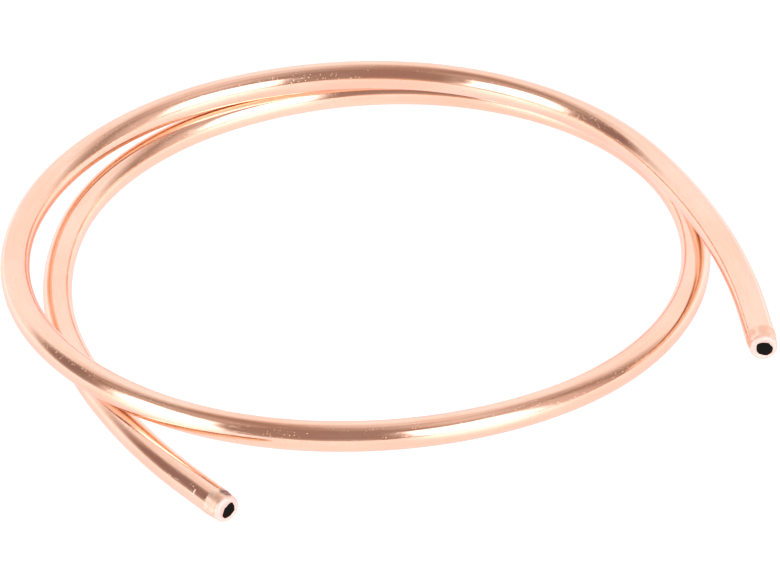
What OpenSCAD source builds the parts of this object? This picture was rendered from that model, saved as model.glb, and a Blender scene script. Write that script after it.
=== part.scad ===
// Copper tube coil: about a metre of 8 mm soft copper tube, wound by hand a little more than one and a half
// times round and laid down flat. The first turn lies on the floor, then the tube climbs over its own start
// and the second turn lies level on top. Seen from above, it runs clockwise from the lower end to the upper.

/* [Tube] */
// Outside diameter of the tube
tube_od = 8; // [6:0.1:12]
// Thickness of the tube's wall
wall = 1; // [0.5:0.1:1.5]

/* [Coil] */
// Mean radius of the turns, measured to the middle of the tube
coil_r = 88; // [70:1:120]
// Air gap where the tube crosses over itself
crossing_gap = 0.3; // [0.1:0.1:3]
// Angle that the tube turns through while it climbs from the first layer to the second
climb_angle = 110; // [90:2:132]

/* [Ends] */
// Length of straight, full-size tube behind each cut end
end_straight = 12; // [5:1:20]
// Length next to the cut that the cutter's rollers squeezed
squeezed_length = 5; // [2:0.5:8]
// How much the rollers took off the radius there
squeeze = 0.2; // [0.05:0.05:0.3]
// Rounding of the outer rim at the cut
rim_round = 0.8; // [0.2:0.05:0.8]
// How far the burr raised by the cutter wheel closes the bore
burr = 0.9; // [0.2:0.05:1]
// Length over which the burr fades out inside the bore
burr_length = 1.5; // [0.5:0.1:4]

/* [Hidden] */
$fn = 48;

// The tube is laid out in metres and enlarged to millimetres as one piece at the end, so that the joints
// between its stretches close up exactly.
m = 0.001;
tube_r = tube_od / 2 * m;
bore_r = tube_r - wall * m;
rise = (tube_od + crossing_gap) * m;

// Where the lower cut end lies on the floor, which centres the coil on the origin, and the angle at which
// the tube leaves it
start = [-0.4882 * coil_r * m, -1.1176 * coil_r * m];
start_angle = 35.2;

// The climb and the level stretches on either side of it share one part of the first turn.
climb_half = climb_angle / 2;
beside_climb = 110 - climb_half;

// Wound by hand, each stretch has its own radius: [how much wider than coil_r it is, its angle].
lower_bends = [[117, 20.2], [23, 30], [-11, 50], [0, 50], [3, beside_climb + 10]];
upper_bends = [[13, beside_climb - 10], [-4, 50], [-8, 50], [8, 50], [16, 30], [128, 21.45]];

// The climb is two equal bends. The tube is rolled about its axis by climb_roll before the first and after
// the last, and back by middle_roll between them: that lifts it by rise and leaves it level again.
climb_r = coil_r * m;
climb_sine = rise / (2 * climb_r * (1 - cos(climb_half)));
climb_roll = asin(climb_sine);
middle_roll = 2 * asin(cos(climb_half) * climb_sine / sqrt(1 - pow(sin(climb_half) * climb_sine, 2)));

// Every stretch in order: [radius, angle, roll about the tube's axis before it].
function level(bends, first_roll) = [for (i = [0:len(bends) - 1])
    [(coil_r + bends[i][0]) * m, bends[i][1], i == 0 ? first_roll : 0]];
route = concat(level(lower_bends, 0),
    [[climb_r, climb_half, climb_roll], [climb_r, climb_half, -middle_roll]],
    level(upper_bends, climb_roll));

// Each end: lengths from the cut to where it is full size, and to where the bends begin. The rounding of
// the rim always leaves a flat ring of 0.2 or more on the cut face.
neck_length = squeezed_length * m;
end_length = (squeezed_length + end_straight) * m;
neck_r = tube_r - squeeze * m;
rim_r = min(rim_round, wall + burr - squeeze - 0.2) * m;

module section() difference() {
    circle(r = tube_r);
    circle(r = bore_r);
}

// Moves to the far end of a bend to the right, turning along with it.
module after_bend(r, angle)
    translate([r, 0, 0]) rotate([0, 0, -angle]) translate([-r, 0, 0]) children();

// A bend to the right that starts at the origin, along +Y. It is drawn over-long and cut off square in the
// plane where the next stretch begins.
module bend(r, angle) difference() {
    mirror([1, 0, 0]) translate([-r, 0, 0])
        rotate_extrude(angle = angle + 4) translate([r, 0]) section();
    after_bend(r, angle) translate([-2 * tube_r, 0, -2 * tube_r]) cube(4 * tube_r);
}

// Half of an end's section: X is the radius, Y is the distance behind the cut. The rim is rounded, the neck
// is squeezed, and the burr narrows the mouth of the bore.
module end_section() {
    quarter = [0:15:90];
    rim = [for (a = quarter) [neck_r - rim_r + rim_r * sin(a), rim_r - rim_r * cos(a)]];
    neck = [[neck_r, neck_length - squeeze * m], [tube_r, neck_length]];
    lip = [for (a = quarter) [bore_r - burr * m * sin(a), burr_length * m * cos(a)]];
    polygon(concat(rim, neck, [[tube_r, end_length], [bore_r, end_length]], lip));
}

// A straight cut end that starts with its cut face at the origin, along +Y.
module cut_end() rotate([-90, 0, 0]) rotate_extrude() end_section();

module stretches(i) {
    if (i < len(route)) rotate([0, -route[i][2], 0]) {
        bend(route[i][0], route[i][1]);
        after_bend(route[i][0], route[i][1]) stretches(i + 1);
    }
    else translate([0, end_length, 0]) mirror([0, 1, 0]) cut_end();
}

module tube() color([0.93, 0.68, 0.55]) scale(1 / m)
    translate([start[0], start[1], tube_r]) rotate([0, 0, start_angle]) {
        cut_end();
        translate([0, end_length, 0]) stretches(0);
    }

tube();
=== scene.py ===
"""Looks of the copper tube coil: one fine tube mesh swept along the bends of part.scad, bare bright
copper, and a white table between two softboxes. Lengths are metres and angles are degrees."""

import math

import bmesh
import bpy
from mathutils import Matrix, Vector, noise


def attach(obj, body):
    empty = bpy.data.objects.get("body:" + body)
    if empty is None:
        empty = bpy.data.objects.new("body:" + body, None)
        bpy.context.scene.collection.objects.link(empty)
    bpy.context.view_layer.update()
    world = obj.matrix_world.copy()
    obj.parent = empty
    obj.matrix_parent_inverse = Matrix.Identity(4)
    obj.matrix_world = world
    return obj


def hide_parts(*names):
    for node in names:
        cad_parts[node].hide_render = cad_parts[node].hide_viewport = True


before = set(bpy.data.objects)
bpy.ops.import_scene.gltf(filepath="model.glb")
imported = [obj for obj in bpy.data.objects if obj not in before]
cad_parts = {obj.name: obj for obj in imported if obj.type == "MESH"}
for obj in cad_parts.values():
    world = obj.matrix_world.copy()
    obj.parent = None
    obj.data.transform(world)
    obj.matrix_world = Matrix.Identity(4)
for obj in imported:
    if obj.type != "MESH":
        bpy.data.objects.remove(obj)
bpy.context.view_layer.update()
MM = 0.001

# ---- The tube's sizes and bends, as in part.scad ----
TUBE_R = 4 * MM
BORE_R = 3 * MM
COIL_R = 88 * MM
RISE = 8.3 * MM
START = Vector((-0.4882 * COIL_R, -1.1176 * COIL_R, TUBE_R))
START_ANGLE = 35.2
CLIMB_HALF = 55
LOWER_BENDS = [(117, 20.2), (23, 30), (-11, 50), (0, 50), (3, 65)]     # (mm wider than COIL_R, angle)
UPPER_BENDS = [(13, 45), (-4, 50), (-8, 50), (8, 50), (16, 30), (128, 21.45)]
END_LENGTH = 17 * MM
NECK_LENGTH = 5 * MM
RIM_R = 0.8 * MM
BURR = 0.9 * MM
BURR_LENGTH = 1.5 * MM

# ---- What only the looks need ----
SIDES = 72
SQUEEZE = 0.34 * MM             # what the neck lacks in radius, a little more than in part.scad
NECK_FLAT = 1.0 * MM            # the neck is level up to here, and then widens to the full size
CUT_RIM = 0.7 * RIM_R           # this much of the rounded rim looks like the cut face
WAVINESS = 0.05 * MM            # the most that dents and ovality take off the radius
SLOW_DENT, QUICK_DENT = 45 * MM, 13 * MM        # how long they are along the tube
RING_STEP, BORE_STEP = 1.5 * MM, 5 * MM         # how far apart the rings are between the shaped ends
# How the torn mouth of each bore departs from its round: (waves in a turn, size in mm, degrees of its
# crest), first for the lower end and then for the upper.
BURR_WAVES = (
    ((0, -0.28, 0), (1, 0.44, 312), (2, 0.25, 92), (4, 0.11, 209), (5, 0.05, 284), (9, 0.04, 70)),
    ((0, -0.04, 0), (1, 0.10, 236), (2, 0.23, 87), (4, 0.06, 201), (5, 0.05, 254), (8, 0.04, 15)),
)
# Marks on the lower tail: (place, half size) about the tube as shares of a turn, and then along it in mm
STAIN = ((58 / 360, 0.105), (2.5, 2.3))
NICK = ((146 / 360, 0.034), (9.7, 0.30))
OUTSIDE, CUT, BORE = range(3)   # kinds of surface, and their material slots

# ---- The bake map: the outside cut into rows, and the bore above them, all to one scale ----
BAKE_SIDE = 178 * MM            # the map's side, as a length of tube
BAKE_ROWS, BAKE_ROW, BAKE_GAP = 6, 25.2 * MM, 1 * MM
BORE_SHARP = 20 * MM            # the bore is to scale this far in from each cut,
BORE_SHORTER = 0.12             # and shortened to this share between
CUT_FROM_SIDE, CUT_WIDE = 3 * MM, 0.9 * MM      # the cut faces' strip: its place and its width

# ---- The picture: camera, table and tone ----
LENS, SENSOR = 247.6, 36
CAMERA_UP, CAMERA_ROLL, CAMERA_SWING, CAMERA_AWAY = 34.0, -5.34, 0.39, 1.444
LOOK_AT = (2.46 * MM, -0.65 * MM, 0)
TABLE_SIZE, TABLE_GLOW, BACKDROP_GLOW = 30, 0.80, 1.1
BLACK = 0.012                   # how bright no light shows
# How bright some light shows: (light, brightness)
TONE = ((0.05, 0.027), (0.10, 0.047), (0.15, 0.070), (0.20, 0.100), (0.26, 0.149))

# ---- The studio ----
STUDIO_DIM = 0.48               # light from everywhere
# What each part adds: (strength, (left edge, its softness, right edge, its softness, lean), (lower edge,
# its softness, upper edge, its softness)), in degrees of azimuth and elevation. Azimuth is 0 behind the
# coil, 90 on its right and 180 at the camera. Lean is how far an edge moves to the right for each degree
# that it rises.
STUDIO = (
    (0.68, (-73, 15, 200, 1, 0.52), (-90, 1, 52, 30)),          # wall behind the coil, its left edge
    (-0.68, (74, 42, 200, 1, 0.0), (-90, 1, 52, 30)),           # and where it stops on the right
    (0.40, (-20, 80, 150, 60, 0.0), (66, 22, 80, 20)),          # ceiling, back and right
    (0.30, (-12, 40, 48, 30, 0.0), (48, 16, 72, 14)),           # the wall's upper edge
    (0.24, (80, 50, 150, 40, 0.0), (52, 16, 70, 14)),           # above the softbox on the right
    (0.20, (-118, 20, -60, 30, 0.0), (44, 14, 68, 14)),         # and above the one on the left
    (0.12, (-400, 1, 400, 1, 0.0), (77, 18, 400, 1)),           # ceiling
    (3.20, (-134, 8, -104, 14, 0.33), (8, 10, 45, 13)),         # softbox on the left
    (0.90, (-134, 12, -98, 20, 0.33), (-90, 1, 8, 10)),         # its light on what is below it
    (3.20, (128, 18, 167, 10, 0.0), (8, 10, 46, 14)),           # softbox on the right
    (0.90, (124, 24, 166, 12, 0.0), (-90, 1, 8, 10)),           # its light on what is below it
    (0.34, (100, 26, 126, 8, 0.0), (-90, 1, 50, 20)),           # its side wall
    (0.30, (-400, 1, -68, 14, 0.0), (-90, 1, 5, 24)),           # far edge of the table, on the left
    (-0.07, (-92, 12, -62, 20, 0.4), (8, 14, 42, 14)),          # darkest place, beside the left softbox
)
DIM_TINT = (1.0, 0.92, 0.895)       # colour of the room's dark parts


def rotation(degrees, axis):
    return Matrix.Rotation(math.radians(degrees), 4, axis)


def climb_rolls():
    """How far the tube is rolled before the first bend of the climb, and back between its two bends."""
    half = math.radians(CLIMB_HALF)
    sine = RISE / (2 * COIL_R * (1 - math.cos(half)))
    middle = 2 * math.asin(math.cos(half) * sine / math.sqrt(1 - (math.sin(half) * sine) ** 2))
    return math.degrees(math.asin(sine)), math.degrees(middle)


def stretches():
    """Every stretch as (length, bend radius or None, roll before it), from the lower end to the upper."""

    def bends(rows, first_roll):
        for i, (wider, angle) in enumerate(rows):
            r = COIL_R + wider * MM
            yield r * math.radians(angle), r, first_roll if i == 0 else 0

    side_roll, middle_roll = climb_rolls()
    half = COIL_R * math.radians(CLIMB_HALF)
    climb = [(half, COIL_R, side_roll), (half, COIL_R, -middle_roll)]
    end = (END_LENGTH, None, 0)
    return [end, *bends(LOWER_BENDS, 0), *climb, *bends(UPPER_BENDS, side_roll), end]


def along(r, length):
    """The move along a straight, or a bend to the right of radius r, for that length. +Y is forwards."""
    if r is None:
        return Matrix.Translation((0, length, 0))
    turn = length / r
    chord = Matrix.Translation((r - r * math.cos(turn), r * math.sin(turn), 0))
    return chord @ Matrix.Rotation(-turn, 4, "Z")


class Centreline:
    """The tube's axis. at(s) is the frame at distance s from the lower cut: +Y forwards, and X and Z
    carried along without twisting."""

    def __init__(self):
        self.rows = []
        here = Matrix.Translation(START) @ rotation(START_ANGLE, "Z")
        s = twist = 0.0
        for length, r, roll in stretches():
            here = here @ rotation(-roll, "Y")
            twist -= roll
            self.rows.append((s, r, here.copy(), twist))
            here = here @ along(r, length)
            s += length
        self.length = s

    def at(self, s):
        start, r, here, twist = [row for row in self.rows if row[0] <= s + 1e-9][-1]
        return here @ along(r, s - start) @ rotation(-twist, "Y")


# ---- The tube mesh ----
def outside_radius(from_cut):
    """Radius of the outside at a distance from the nearer cut: rounded rim, squeezed neck, full size."""
    neck = TUBE_R - SQUEEZE
    if from_cut < RIM_R:
        return neck - RIM_R + math.sqrt(RIM_R ** 2 - (RIM_R - from_cut) ** 2)
    up = (from_cut - NECK_FLAT) / (NECK_LENGTH - NECK_FLAT)
    return neck + SQUEEZE * min(1, max(0, up))


def bore_radius(from_cut):
    """Radius of the bore there, with the burr that narrows its mouth."""
    if from_cut >= BURR_LENGTH:
        return BORE_R
    return BORE_R - BURR * math.sqrt(1 - (from_cut / BURR_LENGTH) ** 2)


def distances(length, near_end, step):
    """Places for rings: the list near_end from each cut, and even steps of about step between."""
    count = round((length - 2 * near_end[-1]) / step)
    middle = [near_end[-1] + (length - 2 * near_end[-1]) * i / count for i in range(1, count)]
    return near_end + middle + [length - d for d in reversed(near_end)]


def ragged(a, upper):
    """How far the torn burr stands off its mean line at angle a, for the upper or the lower end."""
    waves = BURR_WAVES[1 if upper else 0]
    return sum(size * MM * math.cos(k * a - math.radians(turn)) for k, size, turn in waves)


def handling(a, s):
    """How far the outside lies under its radius at angle a and distance s: slow dents and ovality."""
    round_about = Vector((math.cos(a), math.sin(a), 0))
    slow = noise.noise(round_about * 0.55 + Vector((0, 0, s / SLOW_DENT)))
    quick = noise.noise(round_about * 0.9 + Vector((7.3, 0, s / QUICK_DENT)))
    return WAVINESS * (0.5 + 0.36 * slow + 0.14 * quick)


def make_tube(line):
    # Where the rings are near each cut, from the cut inwards
    rim = [RIM_R * (1 - math.cos(math.radians(a))) for a in range(0, 91, 10)]
    neck = [1.1 * MM, 1.5 * MM, 1.9 * MM, 2.3 * MM, 2.8 * MM, 3.4 * MM, 4 * MM, 4.5 * MM, 4.9 * MM]
    full = [NECK_LENGTH, 5.1 * MM, 5.6 * MM, 6.5 * MM, 8 * MM]
    outside = distances(line.length, rim + neck + full, RING_STEP)
    lip = [BURR_LENGTH * math.sin(math.radians(a)) for a in range(0, 91, 15)]
    bore = distances(line.length, lip + [2 * BURR_LENGTH], BORE_STEP)

    mesh = bpy.data.meshes.new("tube_skin")
    bm = bmesh.new()
    run = bm.loops.layers.uv.new("run")         # distance along the tube, and share of a turn about it
    bake = bm.loops.layers.uv.new("OFBake")
    rings = []

    def ring(s, radius, kind):
        """One ring of vertices at distance s, of the outside or of the bore."""
        here = line.at(s)
        end = min(s, line.length - s)
        upper = s > line.length / 2
        verts = []
        for i in range(SIDES):
            a = 2 * math.pi * i / SIDES
            r = radius
            if kind == BORE:
                r += ragged(a, upper) * max(0, 1 - end / BURR_LENGTH)
            else:
                r -= handling(a, s)
            verts.append(bm.verts.new(here @ Vector((r * math.cos(a), 0, r * math.sin(a)))))
        rings.append((s, kind, verts))

    def bake_place(s, w, kind):
        """Where distance s and share w of a turn go in the bake map, before it is cut into rows."""
        if kind == BORE:
            near = min(s, line.length - s, BORE_SHARP)
            far = (min(s, line.length - BORE_SHARP) - near) * BORE_SHORTER if s > BORE_SHARP else 0
            x = min(s, BORE_SHARP) + far + max(0, s - line.length + BORE_SHARP)
            return x, BAKE_ROWS * (BAKE_ROW + BAKE_GAP) + w * 2 * math.pi * BORE_R
        return s, w * BAKE_ROW

    def span(a, b):
        """The band of faces between two rings, with its material and its places in both maps."""
        (sa, ka, va), (sb, kb, vb) = rings[a], rings[b]
        kind = CUT if ka != kb else ka
        on_rim = kind == OUTSIDE and min(min(sa, sb), line.length - max(sa, sb)) < CUT_RIM
        row = min(BAKE_ROWS - 1, int((sa + sb) / 2 / line.length * BAKE_ROWS))
        for i in range(SIDES):
            j = (i + 1) % SIDES
            face = bm.faces.new((va[i], va[j], vb[j], vb[i]))
            face.smooth = True
            face.material_index = CUT if on_rim else kind
            for loop, u, w in zip(face.loops, (sa, sa, sb, sb), (i, i + 1, i + 1, i)):
                loop[run].uv = (u, w / SIDES)
                x, y = bake_place(u, w / SIDES, kind)
                if kind == CUT:                 # a strip of its own beside the first and last rows
                    x = BAKE_SIDE - CUT_FROM_SIDE + (CUT_WIDE if loop.vert in vb else 0)
                    y += row * (BAKE_ROW + BAKE_GAP)
                elif kind == OUTSIDE:
                    x -= row * line.length / BAKE_ROWS
                    y += row * (BAKE_ROW + BAKE_GAP)
                loop[bake].uv = ((x + BAKE_GAP) / BAKE_SIDE, (y + BAKE_GAP) / BAKE_SIDE)

    for s in outside:
        ring(s, outside_radius(min(s, line.length - s)), OUTSIDE)
    for s in reversed(bore):
        ring(s, bore_radius(min(s, line.length - s)), BORE)
    for a in range(len(rings)):
        span(a, (a + 1) % len(rings))
    bmesh.ops.recalc_face_normals(bm, faces=bm.faces)
    bm.to_mesh(mesh)
    bm.free()
    tube = bpy.data.objects.new("tube_skin", mesh)
    bpy.context.collection.objects.link(tube)
    return tube


# ---- Materials ----
# Base colours: (most of it, the rest)
OUTSIDE_COLOURS = ((0.965, 0.690, 0.575), (0.945, 0.630, 0.510))
# The necks' colours are partly their wear and partly a painted reflection of the dark strip
NECK_WEAR_AND_REFLECTION = ((0.98, 0.78, 0.66), (0.88, 0.58, 0.46))
CUT_COLOURS = ((0.98, 0.80, 0.76), (0.95, 0.74, 0.69))
BORE_COLOURS = ((0.60, 0.30, 0.24), (0.42, 0.19, 0.15))
DRAW_LINE, MOTTLE = (0.88, 0.53, 0.40), (0.82, 0.50, 0.40)
SCRATCH, SPECK = (0.98, 0.74, 0.62), (0.52, 0.27, 0.17)
STAINED, NICKED = (0.27, 0.24, 0.27), (0.98, 0.78, 0.66)
# Paler colours for light that has bounced between strands: partly copper's spectrum, partly painted light
# in the crevices
SECOND_BOUNCE_PAINTED_LIGHT, LATER_BOUNCE_PAINTED_LIGHT = (0.99, 0.79, 0.69), (1.0, 0.91, 0.80)
EDGE_TINT = (1.0, 0.84, 0.88)


class Nodes:
    """Short calls for building a node tree. A value is a number or another node's output."""

    def __init__(self, tree):
        self.tree = tree

    def add(self, kind, inputs=(), **settings):
        node = self.tree.nodes.new(kind)
        for name, value in settings.items():
            setattr(node, name, value)
        for name, value in inputs:
            if isinstance(value, bpy.types.NodeSocket):
                self.tree.links.new(value, node.inputs[name])
            else:
                node.inputs[name].default_value = value
        return node

    def math(self, operation, *values):
        return self.add("ShaderNodeMath", enumerate(values), operation=operation).outputs[0]

    def fade(self, value, low, high, out_low=0.0, out_high=1.0):
        """A smooth step: out_low where value is at low or past it, out_high at high or past it."""
        names = ("Value", "From Min", "From Max", "To Min", "To Max")
        inputs = zip(names, (value, low, high, out_low, out_high))
        return self.add("ShaderNodeMapRange", inputs, interpolation_type="SMOOTHSTEP").outputs[0]

    def point(self, x, y, z):
        return self.add("ShaderNodeCombineXYZ", enumerate((x, y, z))).outputs[0]

    def shortened(self, place, share):
        """The place (x, y, z) with z times share, so that a pattern comes out longer along the tube."""
        x, y, z = place
        return self.point(x, y, self.math("MULTIPLY", z, share))

    def noise(self, point, scale, detail=2.0, rough=0.5):
        inputs = (("Vector", point), ("Scale", scale), ("Detail", detail), ("Roughness", rough))
        return self.add("ShaderNodeTexNoise", inputs).outputs["Fac"]

    def spots(self, point, scale, edge, heart):
        """Round spots, one in each cell of the size 1 / scale: 1 within heart, 0 past edge, in cells."""
        cells = self.add("ShaderNodeTexVoronoi", (("Vector", point), ("Scale", scale)))
        return self.fade(cells.outputs["Distance"], edge, heart)

    def mix(self, share, a, b):
        node = self.add("ShaderNodeMix", data_type="RGBA")
        for index, value in ((0, share), (6, a), (7, b)):
            if isinstance(value, bpy.types.NodeSocket):
                self.tree.links.new(value, node.inputs[index])
            else:
                node.inputs[index].default_value = (*value, 1) if isinstance(value, tuple) else value
        return node.outputs[2]

    def bump(self, height, distance):
        return self.add("ShaderNodeBump", (("Height", height), ("Distance", distance))).outputs[0]

    def tube_space(self):
        """Millimetres about and along the straightened tube as (x, y, z), and the share of a turn."""
        run = self.add("ShaderNodeUVMap", uv_map="run").outputs[0]
        along_tube, turn, _ = self.add("ShaderNodeSeparateXYZ", [(0, run)]).outputs
        angle = self.math("MULTIPLY", turn, 2 * math.pi)
        x = self.math("MULTIPLY", self.math("COSINE", angle), TUBE_R / MM)
        y = self.math("MULTIPLY", self.math("SINE", angle), TUBE_R / MM)
        return (x, y, self.math("DIVIDE", along_tube, MM)), turn


def new_metal(name):
    """A metallic material, its node builder and its shader."""
    mat = bpy.data.materials.new(name)
    mat.use_nodes = True
    shader = mat.node_tree.nodes["Principled BSDF"]
    shader.inputs["Metallic"].default_value = 1.0
    return mat, Nodes(mat.node_tree), shader


def connect(owner, shader, **sockets):
    """Links outputs to the sockets of a material's or world's shader, named with _ for a space."""
    for name, value in sockets.items():
        owner.node_tree.links.new(value, shader.inputs[name.replace("_", " ")])


def bright_copper(length):
    """The drawn outside: bright, with fine lengthwise draw lines, a few slanting scratches, pits and
    specks, a slow change of tint, the necks that the cutter's rollers wore, with a painted reflection
    that makes the lower neck paler and the upper one darker, one stain and one nick."""
    mat, n, shader = new_metal("bright_copper")
    place, turn = n.tube_space()
    x, y, z = place
    here = n.point(x, y, z)

    def scratches(slant, seed, width):
        """Thin lines at a slant to the tube's run, in a few places only."""
        across = n.math("MULTIPLY", n.math("ADD", x, y), slant)
        skewed = n.math("MULTIPLY_ADD", z, 0.05, across)
        lines = n.noise(n.point(n.math("ADD", x, seed), y, skewed), 1.3, 1.0)
        near_line = n.fade(n.math("ABSOLUTE", n.math("SUBTRACT", lines, 0.5)), width, width * 0.3)
        where = n.fade(n.noise(n.shortened(place, 0.3), 0.35), 0.56, 0.64)
        return n.math("MULTIPLY", near_line, where)

    def off_mark(about, along_tube):
        """How far off the middle of a mark this is, squared: 1 on its outline."""
        squares = []
        for value, (middle, half) in ((turn, about), (z, along_tube)):
            off = n.math("DIVIDE", n.math("SUBTRACT", value, middle), half)
            squares.append(n.math("MULTIPLY", off, off))
        return n.math("ADD", *squares)

    # The patterns. Sizes are in millimetres: a noise of scale 2 has a grain of about half a millimetre.
    from_cut = n.math("MINIMUM", z, n.math("SUBTRACT", length / MM, z))
    neck = n.fade(from_cut, NECK_LENGTH / MM + 0.05, NECK_LENGTH / MM - 0.1)
    fine = n.noise(n.shortened(place, 0.02), 3.2, 3.0, 0.6)
    broad = n.noise(n.shortened(place, 0.006), 1.1)
    grain = n.noise(n.shortened(place, 0.3), 2.6)
    mottle = n.noise(n.shortened(place, 0.7), 2.4, 2.0, 0.6)
    tint = n.noise(n.shortened(place, 0.25), 0.12, 3.0)
    haze = n.fade(n.noise(n.shortened(place, 0.5), 0.22, 4.0, 0.6), 0.42, 0.68)
    scratch = n.math("MAXIMUM", scratches(0.25, 11.0, 0.010), scratches(-0.5, 37.0, 0.008))
    speck = n.spots(here, 0.42, 0.10, 0.04)
    speck = n.math("MULTIPLY", speck, n.fade(n.noise(here, 0.16, 1.0), 0.52, 0.6))
    pits = n.spots(n.shortened(place, 0.8), 1.5, 0.24, 0.08)
    pits = n.math("MULTIPLY", pits, n.fade(n.noise(n.shortened(place, 0.12), 0.5), 0.42, 0.60))
    pits = n.math("MULTIPLY", pits, n.math("SUBTRACT", 1.0, neck))
    # Painted reflection on the necks: paler at the lower end and darker at the upper, where the dark
    # strip shows blurred
    painted_reflection_by_end = n.fade(z, 400.0, 600.0, -0.04, 0.10)      # at the upper end
    rubbed_and_reflection = n.fade(n.math("ADD", n.noise(here, 0.45), painted_reflection_by_end), 0.35, 0.65)
    rings = n.noise(n.point(n.math("MULTIPLY", x, 0.05), n.math("MULTIPLY", y, 0.05), z), 4.0)
    stain = n.fade(n.noise(here, 0.85, 5.0, 0.68), 0.3, 0.7, -0.55, 0.85)
    stain = n.fade(n.math("ADD", off_mark(*STAIN), stain), 1.5, -0.25)
    nick = n.fade(off_mark(*NICK), 1.0, 0.2)

    colour = n.mix(n.fade(tint, 0.35, 0.65), *OUTSIDE_COLOURS)
    colour = n.mix(n.fade(fine, 0.3, 0.7, 0.0, 0.14), colour, DRAW_LINE)
    colour = n.mix(n.fade(mottle, 0.36, 0.66, 0.0, 0.12), colour, MOTTLE)
    colour = n.mix(n.math("MULTIPLY", scratch, 0.5), colour, SCRATCH)
    colour = n.mix(n.math("MULTIPLY", speck, 0.5), colour, SPECK)
    # The necks: worn by the cutter's rollers, and a painted reflection, paler on the lower neck and
    # darker on the upper
    colour = n.mix(n.math("MULTIPLY", neck, 0.85), colour, n.mix(rubbed_and_reflection, *NECK_WEAR_AND_REFLECTION))
    colour = n.mix(n.math("MULTIPLY", stain, 0.92), colour, STAINED)
    colour = n.mix(n.math("MULTIPLY", nick, 0.8), colour, NICKED)

    # Copper reflects the orange end of the green light far better than the rest of it, so light that has
    # been from strand to strand keeps more green and blue than a colour of three numbers would leave it.
    # It also scatters more, so that it gets out of the crevices within the few bounces that are traced.
    depth = n.add("ShaderNodeLightPath").outputs["Ray Depth"]
    # Painted light: the paler colours after each bounce also brighten the crevices between the strands
    colour = n.mix(n.fade(depth, 0.0, 1.0, 0.0, 0.8), colour, SECOND_BOUNCE_PAINTED_LIGHT)
    colour = n.mix(n.fade(depth, 1.0, 2.0, 0.0, 0.9), colour, LATER_BOUNCE_PAINTED_LIGHT)

    rough = n.math("MULTIPLY_ADD", haze, 0.06, 0.085)
    rough = n.math("MULTIPLY_ADD", fine, 0.05, rough)
    rough = n.math("MULTIPLY_ADD", scratch, 0.12, rough)
    rough = n.math("ADD", rough, n.math("MULTIPLY", neck, n.math("MULTIPLY_ADD", rubbed_and_reflection, 0.10, 0.16)))
    rough = n.math("MULTIPLY_ADD", stain, 0.20, rough)
    rough = n.math("MULTIPLY_ADD", nick, 0.45, rough)
    rough = n.math("ADD", rough, n.fade(depth, 1.0, 2.0, 0.0, 0.35))

    height = n.math("MULTIPLY_ADD", broad, 1.6, fine)
    for pattern, weight in ((grain, 0.6), (scratch, -0.7), (pits, -8.5), (nick, -25.0),
                            (n.math("MULTIPLY", rings, neck), 1.2)):
        height = n.math("MULTIPLY_ADD", pattern, weight, height)
    connect(mat, shader, Base_Color=colour, Roughness=rough, Normal=n.bump(height, 4e-6))
    shader.inputs["Specular Tint"].default_value = (*EDGE_TINT, 1)
    return mat


def cut_copper():
    """The sawn-off faces: paler and duller than the outside, with faint turning marks."""
    mat, n, shader = new_metal("cut_copper")
    marks = n.noise(n.add("ShaderNodeTexCoord").outputs["Object"], 2600, 3.0, 0.6)
    colour = n.mix(n.fade(marks, 0.35, 0.7), *CUT_COLOURS)
    rough = n.fade(marks, 0.3, 0.7, 0.60, 0.72)
    connect(mat, shader, Base_Color=colour, Roughness=rough, Normal=n.bump(marks, 2e-5))
    return mat


def dark_bore():
    """The inside: dull brown copper under an uneven film."""
    mat, n, shader = new_metal("dark_bore")
    place, _ = n.tube_space()
    film = n.noise(n.shortened(place, 0.2), 0.9, 3.0)
    colour = n.mix(n.fade(film, 0.3, 0.7), *BORE_COLOURS)
    connect(mat, shader, Base_Color=colour, Roughness=n.fade(film, 0.3, 0.7, 0.42, 0.55))
    return mat


# ---- Stage ----
def make_floor():
    """A white light table with a slight gloss: lit from inside, so shadows on it are faint."""
    bpy.ops.mesh.primitive_plane_add(size=TABLE_SIZE)
    floor = bpy.context.object
    floor.name = "floor"
    mat = bpy.data.materials.new("light_table")
    mat.use_nodes = True
    for socket, value in (("Base Color", (0.32, 0.32, 0.32, 1)), ("Roughness", 0.32),
                          ("Specular IOR Level", 0.34), ("Emission Color", (1, 1, 1, 1)),
                          ("Emission Strength", TABLE_GLOW)):
        mat.node_tree.nodes["Principled BSDF"].inputs[socket].default_value = value
    floor.data.materials.append(mat)


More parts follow.
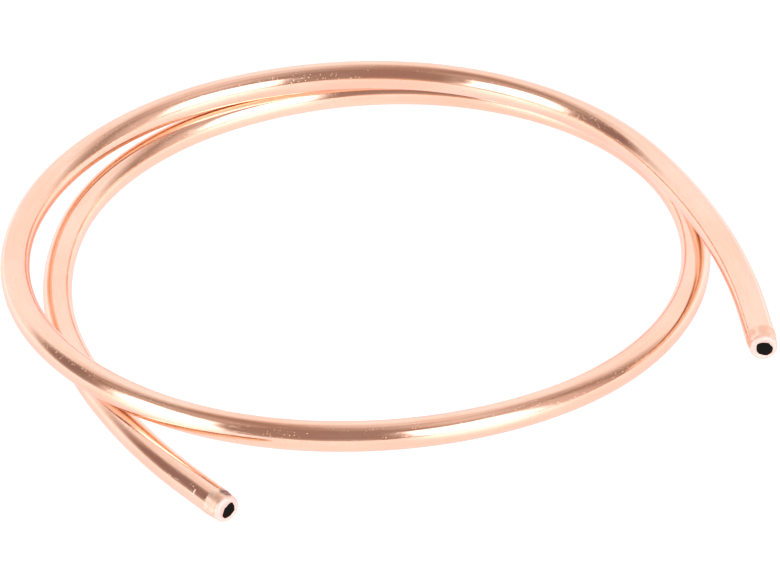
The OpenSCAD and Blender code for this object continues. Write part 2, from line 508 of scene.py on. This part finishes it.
def make_world():
    """The white studio as the tube sees it: a softbox on each side of the camera, a white wall behind the
    coil, and darker gaps between them and overhead."""
    world = bpy.data.worlds.new("studio")
    bpy.context.scene.world = world
    world.use_nodes = True
    n = Nodes(world.node_tree)
    towards = n.add("ShaderNodeTexCoord").outputs["Generated"]
    x, y, z = n.add("ShaderNodeSeparateXYZ", [(0, towards)]).outputs
    azimuth = n.math("DIVIDE", n.math("ARCTAN2", x, y), math.radians(1))
    elevation = n.math("DIVIDE", n.math("ARCSINE", z), math.radians(1))

    def window(value, low, low_soft, high, high_soft, lean=0.0):
        """1 between the edges low and high, fading to 0 across each edge's softness."""
        upright = n.math("MULTIPLY_ADD", elevation, -lean, value)
        rise = n.fade(upright, low - low_soft / 2, low + low_soft / 2)
        return n.math("MULTIPLY", rise, n.fade(upright, high + high_soft / 2, high - high_soft / 2))

    total = STUDIO_DIM
    for strength, across, up in STUDIO:
        lit = n.math("MULTIPLY", window(azimuth, *across), window(elevation, *up))
        total = n.math("MULTIPLY_ADD", lit, strength, total)
    from_camera = n.add("ShaderNodeLightPath").outputs["Is Camera Ray"]
    backdrop = n.math("MULTIPLY", from_camera, BACKDROP_GLOW)
    strength = n.math("MULTIPLY_ADD", total, n.math("SUBTRACT", 1.0, from_camera), backdrop)
    bright = n.math("MAXIMUM", n.fade(total, 0.85, 1.15), from_camera)
    background = world.node_tree.nodes["Background"]
    connect(world, background, Strength=strength, Color=n.mix(bright, DIM_TINT, (1.0, 1.0, 1.0)))


def make_camera():
    """Looks down on the coil from the side where the cut ends are, through a long lens."""
    data = bpy.data.cameras.new("camera")
    data.lens = LENS
    data.sensor_width = SENSOR
    data.clip_end = 50
    cam = bpy.data.objects.new("camera", data)
    aim = rotation(CAMERA_SWING, "Z") @ rotation(90 - CAMERA_UP, "X") @ rotation(CAMERA_ROLL, "Z")
    cam.matrix_world = Matrix.Translation(LOOK_AT) @ aim @ Matrix.Translation((0, 0, CAMERA_AWAY))
    bpy.context.collection.objects.link(cam)
    bpy.context.scene.camera = cam


def set_picture_tone():
    """The camera's own tone: straight above the last point of TONE, and darker under it."""
    view = bpy.context.scene.view_settings
    view.view_transform = "Standard"
    view.use_curve_mapping = True
    curve = view.curve_mapping.curves[3]        # the one for all three colours
    curve.points[0].location = (0, BLACK)
    for light, shown in TONE:
        curve.points.new(light, shown)
    for point in curve.points:
        point.handle_type = "VECTOR"
    view.curve_mapping.update()


make_camera()
centreline = Centreline()
tube = make_tube(centreline)
for material in (bright_copper(centreline.length), cut_copper(), dark_bore()):     # OUTSIDE, CUT, BORE
    tube.data.materials.append(material)
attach(tube, "root")
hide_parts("tube")
make_floor()
make_world()
set_picture_tone()
